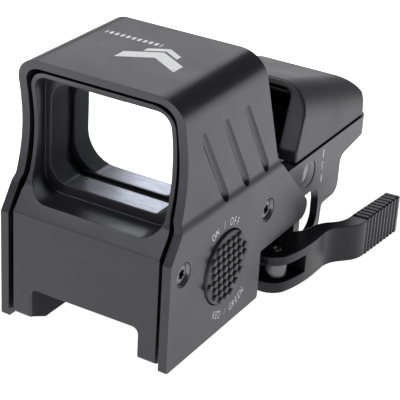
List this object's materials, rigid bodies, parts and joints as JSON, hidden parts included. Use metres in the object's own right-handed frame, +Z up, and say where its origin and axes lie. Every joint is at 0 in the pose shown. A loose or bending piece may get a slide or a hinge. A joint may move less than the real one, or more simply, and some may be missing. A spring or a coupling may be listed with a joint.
{
  "type": "reflex sight",
  "caption": "Open reflex sight with a folded hood, tilted lens window, rear emitter housing, rubber push button and a quick-release lever clamp for a dovetail rail.",
  "frame": {"origin": "middle of the flat seat in the rail channel that rests on top of the rail", "axes": "+X to the side with the button and throw lever, +Y back towards the user, +Z up"},
  "size_m": [0.0636, 0.1044, 0.0639],
  "materials": {
    "body_black": "satin black hard-anodised aluminium",
    "hood_black": "satin black hard-anodised aluminium, bent and machined",
    "cover_black": "fine sand-blasted black anodised aluminium",
    "lever_black": "semi-gloss black anodised with worn bright edges",
    "dark_steel": "black oxide steel",
    "bright_steel": "bright turned steel",
    "brass": "turned brass",
    "rubber": "moulded black rubber with round studs",
    "lens_glass": "clear coated glass with a faint blue sheen",
    "led_lens": "clear red-tinted emitter lens",
    "board_green": "green circuit board",
    "chip_black": "black moulded chip",
    "cell_wrap": "plain wrapped lithium cell"
  },
  "bodies": {
    "sight_body": {"main_housing": "body_black", "hood_shield": "hood_black", "hood_screw_front_left": "dark_steel", "hood_screw_rear_left": "dark_steel", "hood_screw_front_right": "dark_steel", "hood_screw_rear_right": "dark_steel", "cover_screw_left": "dark_steel", "cover_screw_right": "dark_steel", "reflex_lens": "lens_glass", "lens_retainer": "body_black", "emitter_cover": "cover_black", "circuit_board": "board_green", "control_chip": "chip_black", "battery": "cell_wrap", "battery_contact": "brass", "switch_retainer": "chip_black", "switch_dome": "bright_steel", "cross_bolt": "dark_steel", "adjusting_nut": "dark_steel", "lever_pin": "bright_steel", "jaw_guide_pin_front": "bright_steel", "jaw_spring_front": "bright_steel", "jaw_guide_pin_rear": "bright_steel", "jaw_spring_rear": "bright_steel"},
    "clamp_lever": {"throw_lever": "lever_black"},
    "clamp_jaw": {"moving_jaw": "body_black", "cam_plate": "bright_steel"},
    "power_button": {"on_off_button": "rubber"},
    "windage_adjuster": {"windage_screw": "bright_steel"},
    "windage_slider": {"windage_carriage": "brass"},
    "elevation_adjuster": {"elevation_screw": "bright_steel"},
    "emitter_carriage": {"emitter_holder": "chip_black", "led_emitter": "led_lens"},
    "cap_seal": {"battery_seal": "rubber"},
    "cap": {"battery_cap": "body_black", "battery_spring": "bright_steel"}
  },
  "joints": [
    {"name": "lever_throw", "type": "hinge", "parent": "sight_body", "child": "clamp_lever", "pos_m": [0.0209, 0.0115, -0.00165], "axis": [0, 0, -1], "range_deg": [0, 100]},
    {"name": "jaw_slide", "type": "slide", "parent": "sight_body", "child": "clamp_jaw", "axis": [1, 0, 0], "range_m": [0, 0.0012]},
    {"name": "button_press", "type": "slide", "parent": "sight_body", "child": "power_button", "axis": [-1, 0, 0], "range_m": [0, 0.0006], "stiffness_N_per_m": 2500},
    {"name": "windage_turn", "type": "hinge", "parent": "sight_body", "child": "windage_adjuster", "pos_m": [0.013, 0.0301, 0.015], "axis": [1, 0, 0], "range_deg": [-540, 540]},
    {"name": "windage_shift", "type": "slide", "parent": "sight_body", "child": "windage_slider", "axis": [1, 0, 0], "range_m": [-0.0005, 0.0005]},
    {"name": "elevation_turn", "type": "hinge", "parent": "sight_body", "child": "elevation_adjuster", "pos_m": [0, 0.0301, 0.035], "axis": [0, 0, 1], "range_deg": [-540, 540]},
    {"name": "elevation_shift", "type": "slide", "parent": "windage_slider", "child": "emitter_carriage", "axis": [0, 0, 1], "range_m": [-0.0005, 0.0005]},
    {"name": "cap_travel", "type": "slide", "parent": "sight_body", "child": "cap_seal", "axis": [-1, 0, 0], "range_m": [0, 0.00375]},
    {"name": "cap_turn", "type": "hinge", "parent": "cap_seal", "child": "cap", "pos_m": [-0.028, -0.0164, 0.011], "axis": [-1, 0, 0], "range_deg": [0, 1080]}
  ],
  "couplings": [
    {"joint": "lever_throw", "follows": "jaw_slide", "rad_per_m": 1454.4},
    {"joint": "windage_turn", "follows": "windage_shift", "rad_per_m": -18849},
    {"joint": "elevation_turn", "follows": "elevation_shift", "rad_per_m": -18849},
    {"joint": "cap_turn", "follows": "cap_travel", "rad_per_m": 5026}
  ]
}
